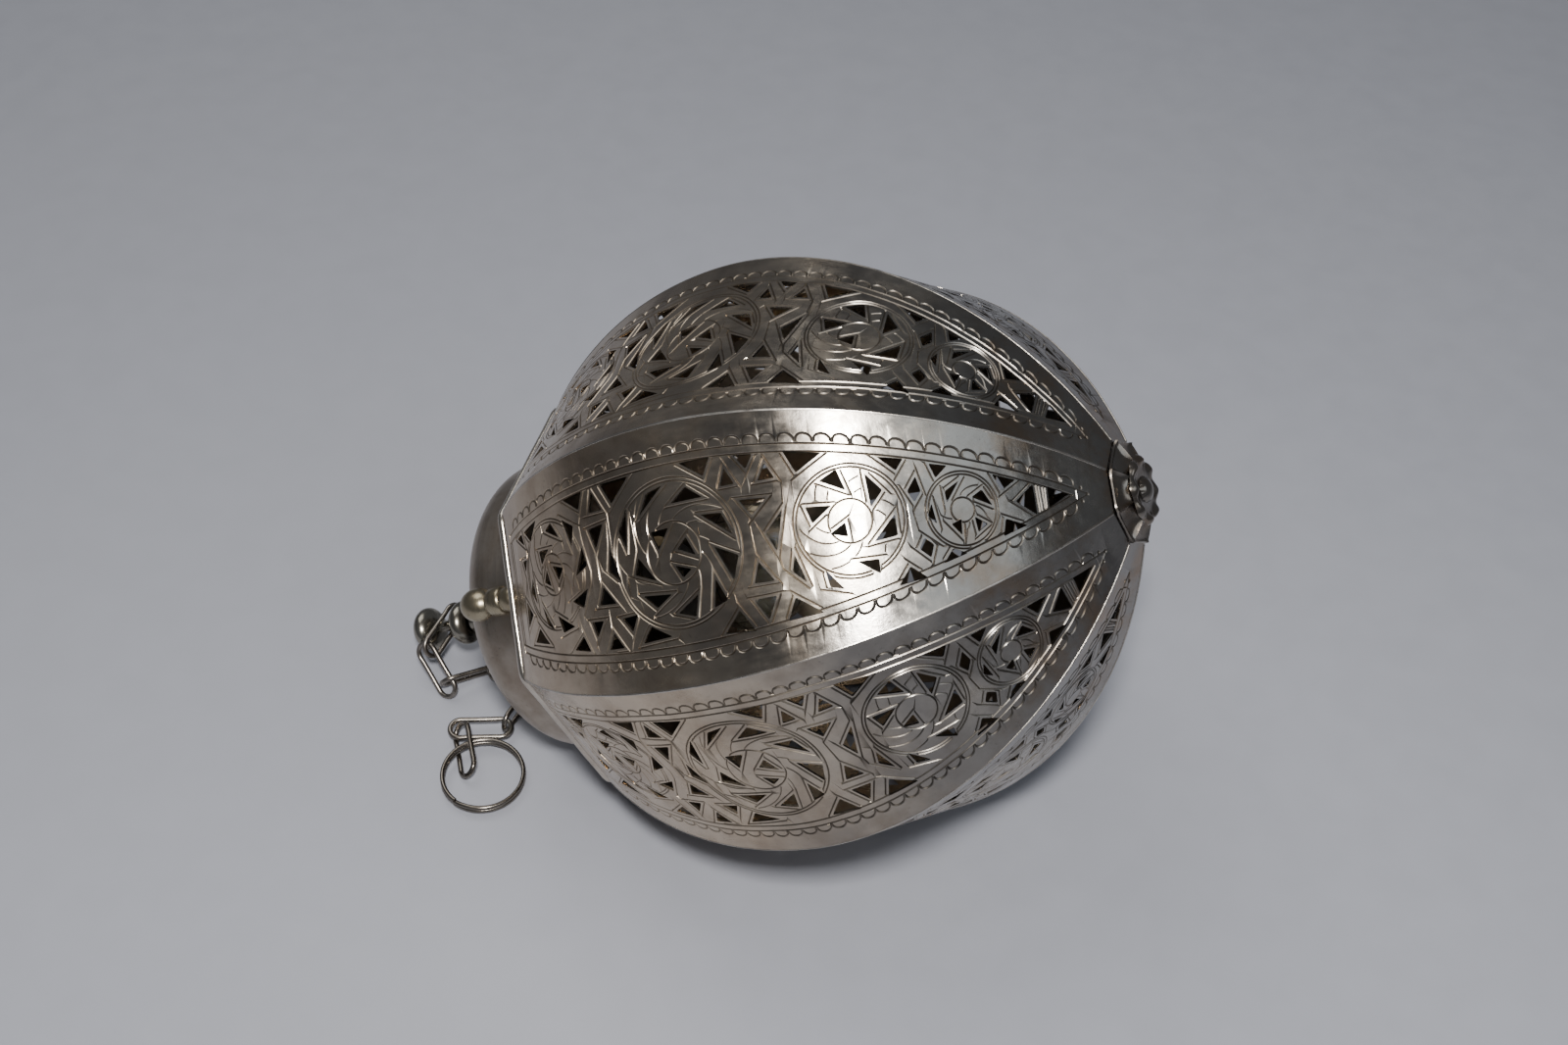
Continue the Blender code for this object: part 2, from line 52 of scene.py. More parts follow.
# Body curve, as in the CAD: quarter ellipses along the ridge between two gores.
BELLY_RADIUS = 102.9
BELLY_DEPTH = 82.8
ARCH_LENGTH = 120.8
SHOULDER_RISE = 113.7
FOOT_RISE = 147.0
TIP_DEPTH = 192.6
GORE_START = 0.7
GORE_THICKNESS = 0.8
SHEET_SAMPLES = 1200
TUBE_SHARP = 40.0
BULB_JOINT_DEPTH = 10


# ---------------------------------------------------------------- places from the frame

joints = {joint["name"]: joint for joint in frame["joints"]}
mounts = {mount["name"]: mount for mount in frame["record"]["mounts"]}


def lantern_frame():
    """The lantern's own axes: +Z to the finial, origin at the centre of the neck's rim."""
    turn = joints["bulb_turn"]
    up = Vector(turn["axis"]).normalized()
    side = Vector((0, 1, 0))
    across = side.cross(up).normalized()
    origin = Vector(turn["pos_m"]) + up * BULB_JOINT_DEPTH * MM
    made = Matrix((across, side, up)).transposed().to_4x4()
    made.translation = origin
    return made


LANTERN = lantern_frame()


# ---------------------------------------------------------------- making objects

def add(name, data, look, body, matrix, replaces=()):
    """Put a piece in the scene on its body. Its place is in its mesh, as a CAD node's is."""
    data.transform(matrix)
    item = bpy.data.objects.new(name, data)
    bpy.context.scene.collection.objects.link(item)
    data.materials.clear()
    data.materials.append(look)
    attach(item, body)
    if replaces:
        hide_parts(*replaces)
    return item


def finished(name, vertices, faces, sharp=30.0, attributes=None):
    """A smooth-shaded mesh. Edges over the angle in sharp, in degrees, stay sharp."""
    data = bpy.data.meshes.new(name)
    data.from_pydata([tuple(v) for v in vertices], [], [tuple(f) for f in faces])
    data.update()
    for label, values in (attributes or {}).items():
        layer = data.attributes.new(label, "FLOAT", "POINT")
        layer.data.foreach_set("value", np.asarray(values, np.float32))
    data.shade_smooth()
    data.set_sharp_from_angle(angle=math.radians(sharp))
    return data


def on_circle(radius, angle, height=0.0):
    """A point in metres, from millimetres and radians."""
    return Vector((radius * math.cos(angle), radius * math.sin(angle), height)) * MM


def lathe(name, profile, segments, closed=False):
    """Turn a profile of (radius, height) in millimetres about Z."""
    vertices = []
    rings = []
    for radius, height in profile:
        if radius < 1e-6:
            rings.append([len(vertices)])
            vertices.append((0.0, 0.0, height * MM))
            continue
        rings.append(list(range(len(vertices), len(vertices) + segments)))
        for step in range(segments):
            vertices.append(on_circle(radius, 2 * math.pi * step / segments, height))
    faces = []
    pairs = list(zip(rings, rings[1:]))
    if closed:
        pairs.append((rings[-1], rings[0]))
    for first, second in pairs:
        for step in range(segments):
            after = (step + 1) % segments
            if len(first) == 1:
                faces.append((first[0], second[step], second[after]))
            elif len(second) == 1:
                faces.append((first[step], second[0], first[after]))
            else:
                faces.append((first[step], second[step], second[after], first[after]))
    return finished(name, vertices, faces)


def arc(centre_r, centre_h, radius_r, radius_h, start, stop, count):
    """Points (radius, height) along an oval; angles in degrees from straight up."""
    points = []
    for step in range(count):
        angle = math.radians(start + (stop - start) * step / (count - 1))
        points.append((centre_r + radius_r * math.sin(angle),
                       centre_h + radius_h * math.cos(angle)))
    return points


def tube(name, path, radius, sides=16, closed=True, up=None):
    """A round wire along a list of points, by parallel transport."""
    path = [Vector(p) for p in path]
    count = len(path)
    section = [
        (radius * math.cos(2 * math.pi * k / sides), radius * math.sin(2 * math.pi * k / sides))
        for k in range(sides)
    ]
    tangents = []
    for k in range(count):
        before = path[k - 1] if closed or k else path[k]
        after = path[(k + 1) % count] if closed or k < count - 1 else path[k]
        tangents.append((after - before).normalized())
    guide = Vector(up) if up is not None else tangents[0].orthogonal()
    vertices = []
    for spot, along in zip(path, tangents):
        guide = (guide - along * guide.dot(along)).normalized()
        other = along.cross(guide)
        vertices += [spot + guide * a + other * b for a, b in section]
    faces = []
    for k in range(count if closed else count - 1):
        low, high = k * sides, ((k + 1) % count) * sides
        for j in range(sides):
            after = (j + 1) % sides
            faces.append((low + j, low + after, high + after, high + j))
    if not closed:
        faces.append(tuple(reversed(range(sides))))
        faces.append(tuple(range((count - 1) * sides, count * sides)))
    return finished(name, vertices, faces, TUBE_SHARP)


# ---------------------------------------------------------------- materials

def ramp(tree, value, stops):
    """A colour ramp between two stops of (place, colour)."""
    node = tree.nodes.new("ShaderNodeValToRGB")
    for element, (place, colour) in zip(node.color_ramp.elements, stops):
        element.position = place
        element.color = (*colour, 1.0)
    tree.links.new(value, node.inputs["Fac"])
    return node.outputs["Color"]


def lantern_coords(tree):
    """Position in the lantern's own frame, from the piece's own coordinates."""
    back = LANTERN.inverted()
    coords = tree.nodes.new("ShaderNodeTexCoord")
    turned = tree.nodes.new("ShaderNodeMapping")
    turned.inputs["Location"].default_value = back.translation
    turned.inputs["Rotation"].default_value = back.to_euler("XYZ")
    tree.links.new(coords.outputs["Object"], turned.inputs["Vector"])
    return turned.outputs["Vector"]


def noise(tree, scale, detail, rough, stretch=(1, 1, 1), shift=(0, 0, 0)):
    """Noise in the lantern's own frame."""
    mapping = tree.nodes.new("ShaderNodeMapping")
    mapping.inputs["Scale"].default_value = stretch
    mapping.inputs["Location"].default_value = shift
    texture = tree.nodes.new("ShaderNodeTexNoise")
    texture.inputs["Scale"].default_value = scale
    texture.inputs["Detail"].default_value = detail
    texture.inputs["Roughness"].default_value = rough
    tree.links.new(lantern_coords(tree), mapping.inputs["Vector"])
    tree.links.new(mapping.outputs["Vector"], texture.inputs["Vector"])
    return texture.outputs["Fac"]


def spread(tree, value, low, high, to_low, to_high):
    """Map a value from one range to another, clamped at both ends."""
    node = tree.nodes.new("ShaderNodeMapRange")
    for name, number in zip(
        ("From Min", "From Max", "To Min", "To Max"), (low, high, to_low, to_high)
    ):
        node.inputs[name].default_value = number
    tree.links.new(value, node.inputs["Value"])
    return node.outputs["Result"]


def mixed(tree, factor, first, second, kind="MIX"):
    """Two colours mixed or multiplied."""
    node = tree.nodes.new("ShaderNodeMix")
    node.data_type = "RGBA"
    node.blend_type = kind
    sockets = (node.inputs[0], node.inputs[6], node.inputs[7])
    for socket, value in zip(sockets, (factor, first, second)):
        if isinstance(value, (int, float)):
            socket.default_value = value
        elif isinstance(value, tuple):
            socket.default_value = (*value, 1.0)
        else:
            tree.links.new(value, socket)
    return node.outputs[2]


def maths(tree, kind, first, second):
    """One sum or product of two values."""
    node = tree.nodes.new("ShaderNodeMath")
    node.operation = kind
    for socket, value in ((node.inputs[0], first), (node.inputs[1], second)):
        if isinstance(value, (int, float)):
            socket.default_value = value
        else:
            tree.links.new(value, socket)
    return node.outputs[0]


def bumped(tree, shader, height, strength, distance):
    """Bump on a shader; the distance is in metres."""
    bumper = tree.nodes.new("ShaderNodeBump")
    bumper.inputs["Strength"].default_value = strength
    bumper.inputs["Distance"].default_value = distance
    tree.links.new(height, bumper.inputs["Height"])
    tree.links.new(bumper.outputs["Normal"], shader.inputs["Normal"])


# Noise scales, per metre, from broad tone to specks, and the hairs of brushed metal.
BLOTCH_SCALE = 22
CLOUD_SCALE = 70
SPECK_SCALE = 420
HAIR_SCALE = 300
# Colour of the dirt flecks, and also the colour that darkens the grooves and paints shade on the
# gore's inner side.
DIRT_AND_SHADE = (0.05, 0.04, 0.03)
GROOVE_AND_INNER_DARKENING = 0.8
ROUGH_IN_GROOVE = 0.25
# Distances along the lantern's axis, in metres: where the painted reflection, a darker and bluer
# tone over the far half, begins and is full, and the same for the brown tint of heat at the tip.
PAINTED_REFLECTION_BEGINS, PAINTED_REFLECTION_FULL = -0.06, -0.15
HEAT_BEGINS, HEAT_FULL = -0.160, -0.200
HEAT_TINT = (0.33, 0.22, 0.13)


def metal(name, bright, mid, tarnish, rough, brush=(1, 1, 1), patina=0.5, groove_depth_and_inner_shade=False,
          bump=0.05, shift=0.0, far=None):
    """Worn metal: blotchy tone, tarnish patches, fine brushing and scratches.

    far is a colour that multiplies the tone towards the tip as a painted reflection; the groove
    flag darkens the grooves by their depth and paints shade on the inside of the sheet.
    """
    look = bpy.data.materials.new(name)
    look.use_nodes = True
    tree = look.node_tree
    shader = tree.nodes["Principled BSDF"]
    shader.inputs["Metallic"].default_value = 1.0
    blotch = noise(tree, BLOTCH_SCALE, 5, 0.6, shift=(shift, 0.3, 0.1))
    cloud = noise(tree, CLOUD_SCALE, 6, 0.65, shift=(0.7, shift, 0.4))
    speck = noise(tree, SPECK_SCALE, 5, 0.7, shift=(0.2, 0.9, shift))
    colour = ramp(tree, blotch, [(0.35, mid), (0.65, bright)])
    stain = spread(tree, cloud, 0.5 - 0.12 * patina, 0.72, 0.0, 0.85 * patina + 0.1)
    colour = mixed(tree, stain, colour, tarnish)
    fleck = spread(tree, speck, 0.62, 0.78, 0.0, 0.55)
    colour = mixed(tree, fleck, colour, DIRT_AND_SHADE)
    # Painted reflection: the far half is multiplied by the far colour, darker and bluer, as a dark
    # room would show in it.
    if far is not None:
        parts = tree.nodes.new("ShaderNodeSeparateXYZ")
        tree.links.new(lantern_coords(tree), parts.inputs["Vector"])
        drift = maths(tree, "ADD", parts.outputs["Z"], spread(tree, blotch, 0.3, 0.7, -0.03, 0.03))
        painted_reflection = spread(tree, drift, PAINTED_REFLECTION_BEGINS, PAINTED_REFLECTION_FULL, 0.0, 1.0)
        colour = mixed(tree, painted_reflection, colour, far, "MULTIPLY")
        heat = maths(tree, "MULTIPLY", spread(tree, drift, HEAT_BEGINS, HEAT_FULL, 0.0, 1.0),
                     spread(tree, cloud, 0.45, 0.62, 0.0, 0.55))
        colour = mixed(tree, heat, colour, HEAT_TINT)
    hairs = noise(tree, HAIR_SCALE, 3, 0.6, stretch=brush)
    roughness = spread(tree, blotch, 0.3, 0.7, rough[0], rough[1])
    roughness = maths(tree, "ADD", roughness, maths(tree, "MULTIPLY", stain, 0.12))
    roughness = maths(tree, "ADD", roughness, spread(tree, hairs, 0.3, 0.7, -0.05, 0.06))
    # Grooves are darkened by their depth, and the gore's inner side gets painted shade, both from
    # the mesh attribute.
    if groove_depth_and_inner_shade:
        depth = tree.nodes.new("ShaderNodeAttribute")
        depth.attribute_name = "groove_depth_and_inner_shade"
        factor = maths(tree, "MULTIPLY", depth.outputs["Fac"], GROOVE_AND_INNER_DARKENING)
        colour = mixed(tree, factor, colour, DIRT_AND_SHADE)
        rougher = maths(tree, "MULTIPLY", depth.outputs["Fac"], ROUGH_IN_GROOVE)
        roughness = maths(tree, "ADD", roughness, rougher)
    tree.links.new(colour, shader.inputs["Base Color"])
    tree.links.new(roughness, shader.inputs["Roughness"])
    fine = maths(tree, "MULTIPLY", speck, 0.5)
    height = maths(tree, "ADD", maths(tree, "MULTIPLY", hairs, 0.6), fine)
    height = maths(tree, "ADD", height, maths(tree, "MULTIPLY", cloud, 2.0))
    bumped(tree, shader, height, 0.5, bump * MM)
    return look


LOOKS = {
    # The gore's far colour is a painted reflection that darkens and cools the half towards the tip.
    "gore": metal("gore_sheet", (0.61, 0.515, 0.395), (0.43, 0.35, 0.265), (0.25, 0.17, 0.105),
                  rough=(0.15, 0.27), brush=(1, 1, 0.25), patina=0.45, groove_depth_and_inner_shade=True, bump=0.10,
                  far=(0.51, 0.58, 0.69)),
    "nickel": metal("spun_nickel", (0.44, 0.385, 0.325), (0.29, 0.25, 0.205), (0.17, 0.12, 0.08),
                    rough=(0.26, 0.38), brush=(0.15, 0.15, 6), patina=0.5, bump=0.05, shift=0.35),
    "dark": metal("finial_nickel", (0.36, 0.34, 0.29), (0.22, 0.205, 0.17), (0.12, 0.10, 0.07),
                  rough=(0.14, 0.26), brush=(0.15, 0.15, 6), patina=0.5, bump=0.05, shift=0.22),
    "lip": metal("lip_wire", (0.66, 0.61, 0.53), (0.46, 0.41, 0.35), (0.26, 0.19, 0.13),
                 rough=(0.14, 0.26), patina=0.4, bump=0.12, shift=0.6),
    "seam": metal("seam_solder", (0.60, 0.57, 0.52), (0.38, 0.35, 0.31), (0.16, 0.12, 0.09),
                  rough=(0.20, 0.34), patina=0.6, bump=0.2, shift=0.52),
    "tip": metal("tip_metal", (0.30, 0.275, 0.245), (0.17, 0.155, 0.135), (0.20, 0.12, 0.06),
                 rough=(0.16, 0.30), patina=0.55, bump=0.12, shift=0.71),
    "brass": metal("worn_brass", (0.42, 0.37, 0.265), (0.30, 0.26, 0.18), (0.17, 0.12, 0.07),
                   rough=(0.20, 0.34), brush=(0.2, 0.2, 5), patina=0.45, bump=0.05, shift=0.8),
    "steel": metal("chain_steel", (0.34, 0.31, 0.275), (0.20, 0.18, 0.155), (0.11, 0.08, 0.06),
                   rough=(0.20, 0.34), patina=0.45, bump=0.06, shift=0.15),
}


def plain(name, colour, roughness, amount, **settings):
    """A non-metal; its colour varies by the share in amount, and it has a slight bump."""
    look = bpy.data.materials.new(name)
    look.use_nodes = True
    tree = look.node_tree
    shader = tree.nodes["Principled BSDF"]
    for label, value in settings.items():
        shader.inputs[label.replace("_", " ")].default_value = value
    cloud = noise(tree, 60, 5, 0.6)
    darker = tuple(channel * (1 - amount) for channel in colour)
    tree.links.new(ramp(tree, cloud, [(0.35, darker), (0.65, colour)]), shader.inputs["Base Color"])
    tree.links.new(spread(tree, cloud, 0.3, 0.7, roughness * 0.85, roughness * 1.15),
                   shader.inputs["Roughness"])
    bumped(tree, shader, noise(tree, 800, 3, 0.6), 0.3, 0.05 * MM)
    return look


LOOKS["black"] = plain("holder_moulding", (0.035, 0.033, 0.032), 0.45, 0.4)
LOOKS["glass"] = plain("bulb_clear", (0.92, 0.93, 0.92), 0.04, 0.02,
                       Transmission_Weight=1.0, IOR=1.45)


# ---------------------------------------------------------------- gore: shape

def sheet_table():
    """Arc length, depth and apothem down the middle of a gore."""
    first = math.asin((GORE_START - BELLY_DEPTH) / ARCH_LENGTH)
    last = math.asin((TIP_DEPTH - BELLY_DEPTH) / ARCH_LENGTH)
    angle = np.linspace(first, last, SHEET_SAMPLES)
    depth = BELLY_DEPTH + ARCH_LENGTH * np.sin(angle)
    rise = np.where(angle < 0, SHOULDER_RISE, FOOT_RISE)
    radius = BELLY_RADIUS - rise * (1 - np.cos(angle))
    out = radius * APOTHEM
    run = np.concatenate([[0], np.cumsum(np.hypot(np.diff(depth), np.diff(out)))])
    slope = np.arctan2(np.gradient(out, run), np.gradient(depth, run))
    return run, depth, out, radius * math.sin(HALF_FACET), slope


RUN, DEPTH, OUT, HALF, SLOPE = sheet_table()
LENGTH = float(RUN[-1])


def half_at(run):
    """Half the gore's width at a distance from the neck."""
    return np.interp(run, RUN, HALF)


def on_sheet(run, across, lift):
    """From a flat position on the gore that faces +X to the lantern's frame, in millimetres."""
    out = np.interp(run, RUN, OUT)
    depth = np.interp(run, RUN, DEPTH)
    tilt = np.interp(run, RUN, SLOPE)
    x = out + lift * np.cos(tilt)
    z = -depth + lift * np.sin(tilt)
    return np.stack([x, across, z], axis=-1)


# The piercing of one gore: corners of each hole, (distance from the neck, distance across), in
# millimetres. The smith's cuts are uneven, and so are these.
HOLES = [
    [(15.2, 17.0), (18.2, 17.8), (19.0, 14.8)],
    [(21.2, 18.3), (29.6, 20.4), (25.0, 15.0)],
    [(16.5, 9.2), (19.3, 9.3), (17.6, 6.3)],
    [(36.2, 16.5), (39.2, 18.2), (42.2, 13.9)],
    [(46.3, 17.8), (51.0, 15.3), (49.2, 10.2)],
    [(30.3, 10.5), (35.4, 10.4), (31.0, 6.8)],
    [(54.0, 7.8), (55.2, 2.7), (50.0, 0.6)],
    [(48.8, 23.9), (57.0, 24.8), (54.9, 20.2)],
    [(61.7, 23.6), (65.0, 18.3), (60.0, 18.3)],
    [(66.6, 25.4), (77.2, 25.6), (70.0, 19.4)],
    [(58.8, 12.8), (64.5, 13.4), (60.8, 7.3)],
    [(66.8, 4.5), (69.2, -4.2), (65.4, -1.0)],
    [(75.0, 15.4), (71.6, 10.3), (73.3, 5.8)],
    [(22.3, 2.5), (23.3, -4.4), (20.5, -0.8)],
    [(33.3, 3.8), (34.5, -0.6), (31.5, 0.8)],
    [(37.8, 4.7), (42.5, 3.5), (40.0, 0.6)],
    [(15.0, -4.2), (19.0, -8.2), (14.4, -11.6)],
    [(23.0, -13.5), (28.0, -18.4), (18.9, -17.0)],
    [(27.8, -8.0), (32.2, -14.0), (29.4, -12.6)],
    [(36.8, -11.2), (44.5, -15.0), (38.8, -16.0)],
    [(46.8, -7.5), (53.8, -5.0), (51.2, -9.8)],
    [(61.5, -5.6), (65.6, -10.6), (59.2, -10.2)],
    [(49.0, -19.0), (51.2, -23.4), (44.4, -22.2)],
    [(54.5, -15.3), (59.0, -15.5), (56.0, -19.5)],
    [(63.4, -19.9), (66.6, -24.3), (61.0, -24.1)],
    [(68.3, -16.0), (73.7, -15.8), (71.4, -19.8)],
    [(78.7, -20.0), (85.0, -23.5), (75.4, -24.0)],
    [(77.5, 0.6), (82.5, -6.1), (75.8, -3.6)],
    [(83.6, 7.6), (89.4, 7.8), (85.6, 2.6)],
    [(81.1, 14.5), (83.9, 19.2), (88.6, 20.3)],
    [(92.8, 15.3), (97.5, 18.7), (101.9, 15.3)],
    [(92.5, 1.4), (95.3, 4.0), (97.5, -0.8)],
    [(91.1, -3.8), (95.3, -5.2), (92.8, -6.9)],
    [(102.2, 9.6), (107.6, 9.2), (110.0, 3.4)],
    [(104.7, -0.5), (111.1, -3.8), (108.9, -9.7)],
    [(103.3, -10.2), (105.8, -15.8), (101.9, -17.2)],
    [(96.4, -13.3), (95.0, -18.8), (90.0, -17.2)],
    [(78.3, -10.8), (87.0, -11.6), (82.2, -14.4)],
    [(97.4, 26.0), (106.4, 26.0), (103.9, 21.4)],
    [(110.8, 21.4), (112.8, 17.3), (109.2, 17.3)],
    [(114.7, 25.0), (119.4, 24.4), (117.3, 21.2)],
    [(123.0, 20.9), (125.0, 16.9), (120.8, 16.9)],
    [(129.3, 23.6), (139.2, 21.4), (132.0, 17.4)],
    [(114.4, 11.7), (121.4, 11.2), (117.2, 7.4)],
    [(125.8, 6.2), (123.0, -3.6), (120.9, 1.1)],
    [(117.2, -7.2), (120.6, -12.4), (115.3, -12.4)],
    [(128.0, -7.3), (129.9, -13.9), (127.0, -11.0)],
    [(114.7, -17.6), (120.6, -17.4), (117.8, -23.0)],
    [(109.2, -20.0), (113.0, -26.0), (104.4, -25.4)],
    [(126.5, -18.9), (133.2, -23.8), (123.8, -24.6)],
    [(138.6, 13.5), (143.3, 15.8), (144.9, 10.2)],
    [(133.3, 6.4), (139.9, 5.8), (134.6, 2.1)],
    [(139.6, -2.0), (143.6, 0.2), (143.8, -3.3)],
    [(151.6, 13.0), (155.4, 8.2), (152.0, 4.4)],
    [(158.0, 0.2), (158.0, -5.1), (152.0, -5.8)],
    [(146.4, -11.4), (151.6, -11.5), (151.4, -15.1)],
    [(136.4, -12.9), (140.2, -17.9), (137.0, -17.0)],
    [(156.4, 17.5), (162.6, 16.2), (160.5, 13.6)],
    [(165.8, 10.2), (166.6, 6.4), (164.6, 3.9), (163.2, 6.8)],
    [(170.8, 13.6), (175.2, 12.6), (172.0, 10.0)],
    [(177.7, 7.1), (174.3, 2.7), (174.2, 5.2)],
    [(182.4, 2.7), (185.2, 4.2), (187.4, 0.2)],
    [(169.3, 1.4), (169.8, -2.9), (168.1, -1.0)],
    [(174.9, -4.5), (177.4, -3.6), (177.0, -7.2)],
    [(182.2, -3.6), (185.2, -5.6), (182.6, -7.2)],
    [(165.8, -7.6), (168.0, -9.5), (166.8, -12.6), (164.2, -10.1)],
    [(160.5, -15.1), (164.4, -18.4), (157.0, -19.4)],
    [(171.2, -14.8), (173.9, -11.6), (177.2, -13.2)],
    [(189.9, 8.2), (196.1, 6.2), (191.8, 3.9)],
    [(191.8, -5.1), (197.5, -7.4), (190.5, -9.4)],
    [(202.1, 3.9), (202.1, -4.2), (196.3, -0.1)],
    [(207.6, 3.0), (214.4, 0.4), (207.2, -2.8)],
]

# Rosettes: centre and the radii of their scribed circles.
ROSETTES = [
    ((36.5, 2.5), (16.6, 17.6, 6.6)),
    ((90.5, 0.5), (21.4, 22.5, 9.4)),
    ((145.3, 0.8), (15.6, 16.6, 6.4)),
    ((178.6, -0.6), (10.4, 11.3, 3.6)),
]
BORDER_OUTER = 10.1
BORDER_INNER = 12.5
BORDER_START = 6.0
# Lines across the field at each end: distance from the neck, and how much shorter they are.
CROSS_LINES = ((BORDER_START, 0.0), (BORDER_START + 1.6, 0.0),
               (204.2, 0.6), (205.4, 0.6), (217.6, -1.5))
FIELD_END = 216.0
# Half width and depth of each kind of scribed line.
GROOVE_HALF, GROOVE_DEPTH = 0.34, 0.30
SCALLOP_HALF, SCALLOP_DEPTH = 0.42, 0.30
SWIRL_HALF, SWIRL_DEPTH = 0.28, 0.22
SCALLOP_START, SCALLOP_END = 11.0, 214.0
SCALLOP_PITCH = 5.3
SCALLOP_HEIGHT = 2.3
SCALLOP_GAP = 0.25
SCALLOP_INSET = 0.7
# Straps: lines beside the holes, how far they run on, and the shortest that is kept.
STRAP_OFFSET = 1.25
STRAP_EXTRA = 2.6
STRAP_SHORTEST = 2.4
STRAP_STEP = 0.35
STRAP_CLEAR = 0.62
# Swirls: curved arms in each rosette, and how far they turn, in radians.
SWIRL_TWIST = 0.9
SWIRL_STEPS = 48
SWIRL_SHORTEST = 2.0
CIRCLE_STEPS = 120
HOLE_GROWTH = 0.28
CORNER_CUT = 0.35
ROW_STEP = 2.5
# Three punch marks near the tip.
PUNCHES = ((219.8, 2.0), (219.8, -2.0), (222.2, 0.0))
PUNCH_RADIUS, PUNCH_FLAT, PUNCH_DEPTH = 0.8, 0.45, 0.3
# Painted shade: how much the gore's inner side is darkened, as if the inside of the lantern lay in
# shade.
INNER_PAINTED_SHADE = 0.35
INNER_WIDTH = 0.992
GORE_SHARP = 24.0


def cut_corner(points):
    """Take the sharp points off a hole, as a saw or chisel leaves them."""
    made = []
    count = len(points)
    for k in range(count):
        here = np.array(points[k])
        for other in (np.array(points[k - 1]), np.array(points[(k + 1) % count])):
            away = other - here
            made.append(here + away / np.linalg.norm(away) * CORNER_CUT)
    return made


def grow_hole(points):
    """Move each side of a hole outwards."""
    corners = np.array(points)
    middle = corners.mean(0)
    sides = []
    for k in range(len(corners)):
        a, b = corners[k], corners[(k + 1) % len(corners)]
        out = np.array([(b - a)[1], -(b - a)[0]])
        out /= np.linalg.norm(out)
        if out @ (a - middle) < 0:
            out = -out
        sides.append((out, out @ a + HOLE_GROWTH))
    made = []
    for k in range(len(corners)):
        (n0, d0), (n1, d1) = sides[k - 1], sides[k]
        made.append(np.linalg.solve(np.array([n0, n1]), np.array([d0, d1])))
    return made


def segment_distance(points, starts, ends):
    """Distance from each point to each segment."""
    run = ends - starts
    length = np.maximum((run**2).sum(-1), 1e-12)
    share = ((points[:, None] - starts[None]) * run[None]).sum(-1) / length[None]
    share = np.clip(share, 0, 1)
    near = starts[None] + share[..., None] * run[None]
    return np.linalg.norm(points[:, None] - near, axis=-1)


def inside(points, polygon):
    """Even-odd test for many points."""
    hit = np.zeros(len(points), bool)
    count = len(polygon)
    for k in range(count):
        (x0, y0), (x1, y1) = polygon[k], polygon[(k + 1) % count]
        crosses = (y0 > points[:, 1]) != (y1 > points[:, 1])
        if abs(y1 - y0) < 1e-12:
            continue
        at = x0 + (points[:, 1] - y0) * (x1 - x0) / (y1 - y0)
        hit ^= crosses & (points[:, 0] < at)
    return hit


def hole_sides():
    """Both ends of every hole's sides."""
    starts, ends = [], []
    for hole in HOLES:
        for k, corner in enumerate(hole):
            starts.append(corner)
            ends.append(hole[(k + 1) % len(hole)])
    return np.array(starts, float), np.array(ends, float)


SIDE_STARTS, SIDE_ENDS = hole_sides()


def open_metal(points, clear):
    """Which points lie on metal of the pierced field, clear of every hole."""
    points = np.atleast_2d(points)
    free = segment_distance(points, SIDE_STARTS, SIDE_ENDS).min(1) > clear
    for hole in HOLES:
        free &= ~inside(points, hole)
    free &= np.abs(points[:, 1]) < half_at(points[:, 0]) - BORDER_INNER - 0.5
    return free & (points[:, 0] > BORDER_START + 2) & (points[:, 0] < FIELD_END)


def grown(middle, along, reach, others):
    """Grow a straight scribed line both ways from its middle until it meets a hole or a line."""
    ends = []
    for way in (-along, along):
        gone = 0.0
        while gone < reach:
            spot = middle + way * (gone + STRAP_STEP)
            if not open_metal(spot, STRAP_CLEAR)[0]:
                break
            if np.linalg.norm(others - spot, axis=1).min() < STRAP_CLEAR:
                break
            gone += STRAP_STEP
        ends.append((middle + way * gone, gone))
    return ends


def sampled(line, pitch=0.3):
    """Evenly spaced points along a polyline."""
    made = []
    for a, b in zip(line[:-1], line[1:]):
        count = max(int(np.linalg.norm(b - a) / pitch), 1)
        made += [a + (b - a) * k / count for k in range(count)]
    made.append(line[-1])
    return np.array(made)


def strap_lines(taken):
    """Scribed lines beside each hole's edges, carried on a little way past its corners."""
    lines = []
    cloud = np.concatenate([sampled(line) for line in taken])
    for hole in HOLES:
        middle = np.mean(hole, axis=0)
        for k in range(len(hole)):
            a, b = np.array(hole[k]), np.array(hole[(k + 1) % len(hole)])
            size = np.linalg.norm(b - a)
            along = (b - a) / size
            out = np.array([along[1], -along[0]])
            if out @ (a - middle) < 0:
                out = -out
            spot = (a + b) / 2 + out * STRAP_OFFSET
            crowded = np.linalg.norm(cloud - spot, axis=1).min() < 0.75
            if crowded or not open_metal(spot, 0.6)[0]:
                continue
            (start, back), (stop, ahead) = grown(spot, along, size / 2 + STRAP_EXTRA, cloud)
            if back + ahead < STRAP_SHORTEST:
                continue
            line = np.array([start, stop])
            lines.append(line)
            cloud = np.concatenate([cloud, sampled(line)])
    return lines


def rosette_lines():
    """Scribed circles, broken where they cross a hole."""
    lines = []
    for centre, radii in ROSETTES:
        for radius in radii:
            run = []
            for step in range(CIRCLE_STEPS + 1):
                angle = 2 * math.pi * step / CIRCLE_STEPS
                spot = np.array(centre) + radius * np.array([math.cos(angle), math.sin(angle)])
                if step < CIRCLE_STEPS and open_metal(spot, 0.5)[0]:
                    run.append(spot)
                    continue
                if len(run) > 3:
                    lines.append(np.array(run))
                run = []
    return lines


